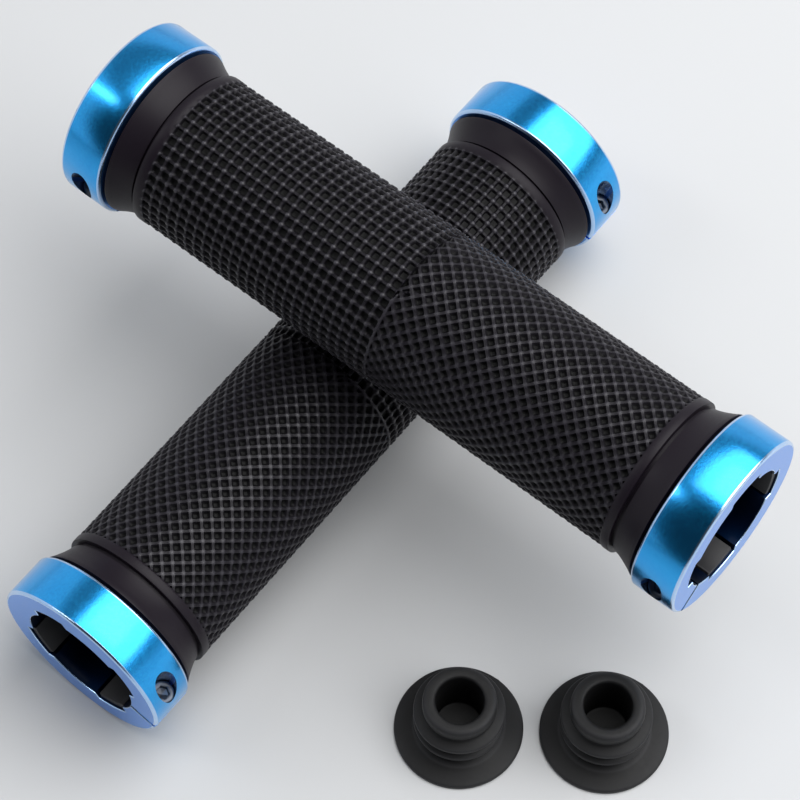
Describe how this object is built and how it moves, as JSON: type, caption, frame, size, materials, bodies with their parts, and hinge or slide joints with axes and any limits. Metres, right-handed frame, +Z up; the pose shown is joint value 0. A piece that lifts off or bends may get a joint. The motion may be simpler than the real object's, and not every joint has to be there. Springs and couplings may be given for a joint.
{
  "type": "lock-on handlebar grips with end plugs",
  "caption": "Pair of crossed handlebar grips with knurled rubber sleeves, split clamp rings at both ends and ribbed push-in bar end plugs.",
  "frame": {"origin": "on the surface that the grips lie on, under the middle of the whole group", "axes": "+X along the lower (right) grip's bore towards its inner end, +Y along the upper (left) grip's bore towards its inner end, +Z up"},
  "size_m": [0.1306, 0.1377, 0.0632],
  "materials": {
    "core": "moulded hard plastic, satin",
    "sleeve": "soft rubber, moulded tread",
    "ring": "turned and blue anodised, satin gloss",
    "screw": "zinc plated, bright",
    "plug": "soft moulded plastic, matte"
  },
  "bodies": {
    "right_grip": {"right_core": "core", "right_sleeve": "sleeve"},
    "right_outer_clamp_ring": {"right_outer_ring": "ring"},
    "right_inner_clamp_ring": {"right_inner_ring": "ring"},
    "right_outer_pinch_screw": {"right_outer_screw": "screw"},
    "right_inner_pinch_screw": {"right_inner_screw": "screw"},
    "left_grip": {"left_core": "core", "left_sleeve": "sleeve"},
    "left_outer_clamp_ring": {"left_outer_ring": "ring"},
    "left_inner_clamp_ring": {"left_inner_ring": "ring"},
    "left_outer_pinch_screw": {"left_outer_screw": "screw"},
    "left_inner_pinch_screw": {"left_inner_screw": "screw"},
    "right_plug": {"right_end_plug": "plug"},
    "left_plug": {"left_end_plug": "plug"}
  },
  "joints": [
    {"name": "right_outer_ring_slide", "type": "slide", "parent": "right_grip", "child": "right_outer_clamp_ring", "axis": [-1, 0, 0], "range_m": [0, 0.012]},
    {"name": "right_inner_ring_slide", "type": "slide", "parent": "right_grip", "child": "right_inner_clamp_ring", "axis": [1, 0, 0], "range_m": [0, 0.012]},
    {"name": "right_outer_screw_turn", "type": "hinge", "parent": "right_outer_clamp_ring", "child": "right_outer_pinch_screw", "pos_m": [-0.06095, 0.00248, 0.01313], "axis": [0, -0.2588, 0.9659], "range_deg": [-648, 720]},
    {"name": "right_inner_screw_turn", "type": "hinge", "parent": "right_inner_clamp_ring", "child": "right_inner_pinch_screw", "pos_m": [0.06095, 0.00248, 0.01313], "axis": [0, -0.2588, 0.9659], "range_deg": [-648, 720]},
    {"name": "left_grip_lift", "type": "slide", "parent": "right_grip", "child": "left_grip", "axis": [0, 0, 1], "range_m": [0, 0.05]},
    {"name": "left_outer_ring_slide", "type": "slide", "parent": "left_grip", "child": "left_outer_clamp_ring", "axis": [0, -1, 0], "range_m": [0, 0.012]},
    {"name": "left_inner_ring_slide", "type": "slide", "parent": "left_grip", "child": "left_inner_clamp_ring", "axis": [0, 1, 0], "range_m": [0, 0.012]},
    {"name": "left_outer_screw_turn", "type": "hinge", "parent": "left_outer_clamp_ring", "child": "left_outer_pinch_screw", "pos_m": [-0.00038, -0.05735, 0.03803], "axis": [-0.6018, 0, 0.7986], "range_deg": [-648, 720]},
    {"name": "left_inner_screw_turn", "type": "hinge", "parent": "left_inner_clamp_ring", "child": "left_inner_pinch_screw", "pos_m": [-0.00038, 0.06455, 0.03803], "axis": [-0.6018, 0, 0.7986], "range_deg": [-648, 720]},
    {"name": "right_plug_lift", "type": "slide", "parent": "right_grip", "child": "right_plug", "axis": [0, 0, 1], "range_m": [0, 0.025]},
    {"name": "left_plug_lift", "type": "slide", "parent": "right_grip", "child": "left_plug", "axis": [0, 0, 1], "range_m": [0, 0.025]}
  ]
}
